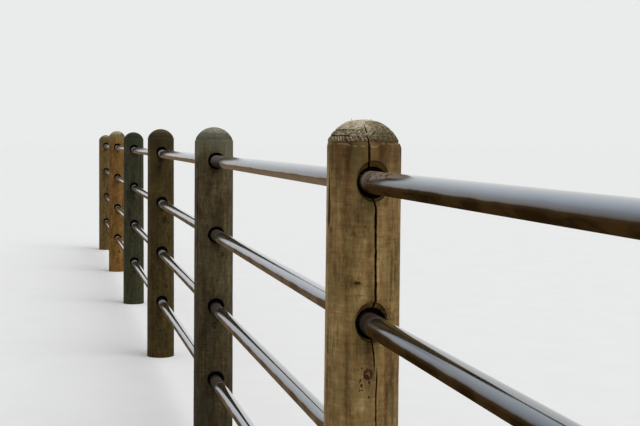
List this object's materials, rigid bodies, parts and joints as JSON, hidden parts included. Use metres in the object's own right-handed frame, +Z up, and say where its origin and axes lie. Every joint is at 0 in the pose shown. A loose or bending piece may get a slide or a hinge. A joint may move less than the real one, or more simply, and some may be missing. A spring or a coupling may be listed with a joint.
{
  "type": "post and pipe rail fence",
  "caption": "Straight fence of round timber posts with domed tops, drilled through for level rails of bright round steel tube. The rails are open tubes butted inside the posts.",
  "frame": {"origin": "on the ground at the middle post's axis, on its foot", "axes": "+X along the fence towards the near end, post 1; +Z up; -Y is the side the picture was taken from"},
  "size_m": [15.028, 0.176, 1.485],
  "materials": {
    "weathered_tan_timber": "rough sawn and weathered, treated",
    "tan_timber": "rough sawn and weathered, treated",
    "grey_green_timber": "rough sawn and weathered, treated",
    "dark_brown_timber": "rough sawn and weathered, treated",
    "green_black_timber": "rough sawn and weathered, treated",
    "orange_brown_timber": "rough sawn and weathered, treated",
    "olive_timber": "rough sawn and weathered, treated",
    "bright_steel": "smooth and glossy, a little rust by the posts"
  },
  "bodies": {
    "root": {"post_1": "weathered_tan_timber", "post_2": "tan_timber", "post_3": "grey_green_timber", "post_4": "dark_brown_timber", "post_5": "green_black_timber", "post_6": "orange_brown_timber", "post_7": "olive_timber", "top_rail_1": "bright_steel", "top_rail_2": "bright_steel", "top_rail_3": "bright_steel", "upper_rail_1": "bright_steel", "upper_rail_2": "bright_steel", "upper_rail_3": "bright_steel", "lower_rail_1": "bright_steel", "lower_rail_2": "bright_steel", "lower_rail_3": "bright_steel", "bottom_rail_1": "bright_steel", "bottom_rail_2": "bright_steel", "bottom_rail_3": "bright_steel"}
  },
  "joints": []
}
